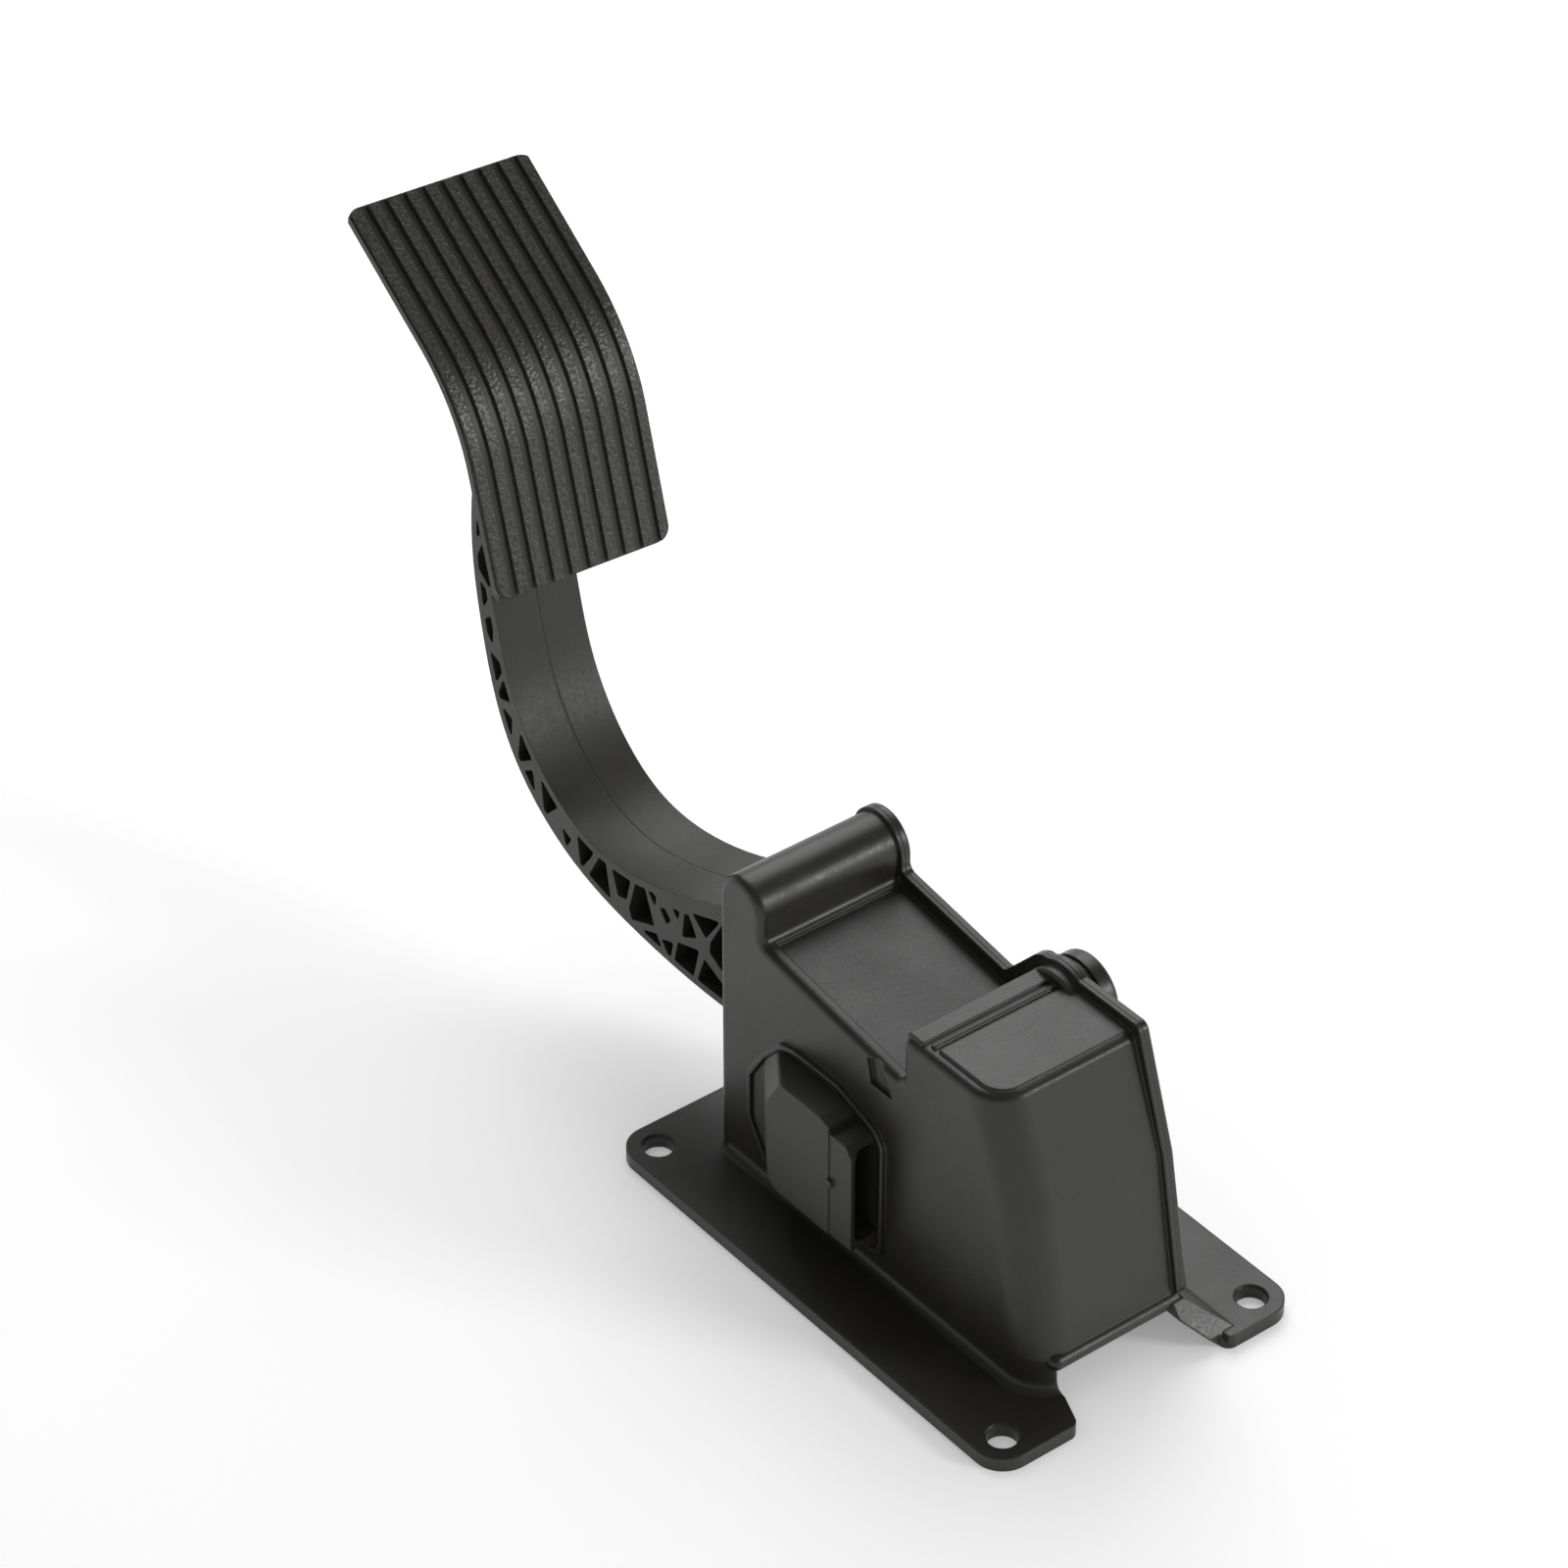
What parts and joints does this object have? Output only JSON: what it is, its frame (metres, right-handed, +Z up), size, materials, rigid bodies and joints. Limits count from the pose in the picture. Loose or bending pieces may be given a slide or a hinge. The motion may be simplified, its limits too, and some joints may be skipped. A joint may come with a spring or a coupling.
{
  "type": "accelerator pedal",
  "caption": "Floor-mounted accelerator pedal module: closed housing on bolt-down feet, side connector, curved truss arm and a wide ribbed tread.",
  "frame": {"origin": "centre of the four bolt holes on the flat underside of the feet", "axes": "+X across the pedal towards the side cover, +Y back towards the arm and tread, +Z up from the mounting face"},
  "size_m": [0.1024, 0.3176, 0.2127],
  "materials": {
    "housing_plastic": "satin moulded",
    "cover_plastic": "satin moulded",
    "arm_plastic": "satin moulded",
    "connector_plastic": "satin moulded",
    "cup_plastic": "satin moulded",
    "bush_plastic": "plain moulded bearing plastic",
    "tread_rubber": "fine grained",
    "stop_rubber": "plain",
    "screw_steel": "dark zinc plated",
    "shaft_steel": "ground",
    "spring_steel": "oiled spring wire",
    "contact_brass": "tinned",
    "board_laminate": "glass fibre laminate",
    "chip_plastic": "moulded",
    "magnet_metal": "sintered"
  },
  "bodies": {
    "housing": {"housing_shell": "housing_plastic", "side_cover": "cover_plastic", "cover_screws": "screw_steel", "pivot_shaft": "shaft_steel", "outer_return_spring": "spring_steel", "inner_return_spring": "spring_steel", "spring_seat": "shaft_steel", "idle_stop": "stop_rubber", "full_stop": "stop_rubber", "connector_housing": "connector_plastic", "connector_gasket": "stop_rubber", "connector_pins": "contact_brass", "sensor_board": "board_laminate", "hall_sensors": "chip_plastic", "sensor_lid": "cup_plastic", "lid_screws": "screw_steel"},
    "arm": {"pedal_arm": "arm_plastic", "tread_pad": "tread_rubber", "pivot_bush_left": "bush_plastic", "pivot_bush_right": "bush_plastic", "position_magnet": "magnet_metal"},
    "cup": {"spring_cup": "cup_plastic"}
  },
  "joints": [
    {"name": "pedal_pivot", "type": "hinge", "parent": "housing", "child": "arm", "pos_m": [0, 0.0546, 0.0892], "axis": [-1, 0, 0], "range_deg": [0, 15], "stiffness_Nm_per_rad": 6, "springref_deg": -28.65},
    {"name": "cup_slide", "type": "slide", "parent": "housing", "child": "cup", "axis": [0, 0, 1], "range_m": [0, 0.02255], "deforming": ["outer_return_spring", "inner_return_spring"]}
  ],
  "couplings": [
    {"joint": "cup_slide", "follows": "pedal_pivot", "m_per_rad": 0.0861}
  ]
}
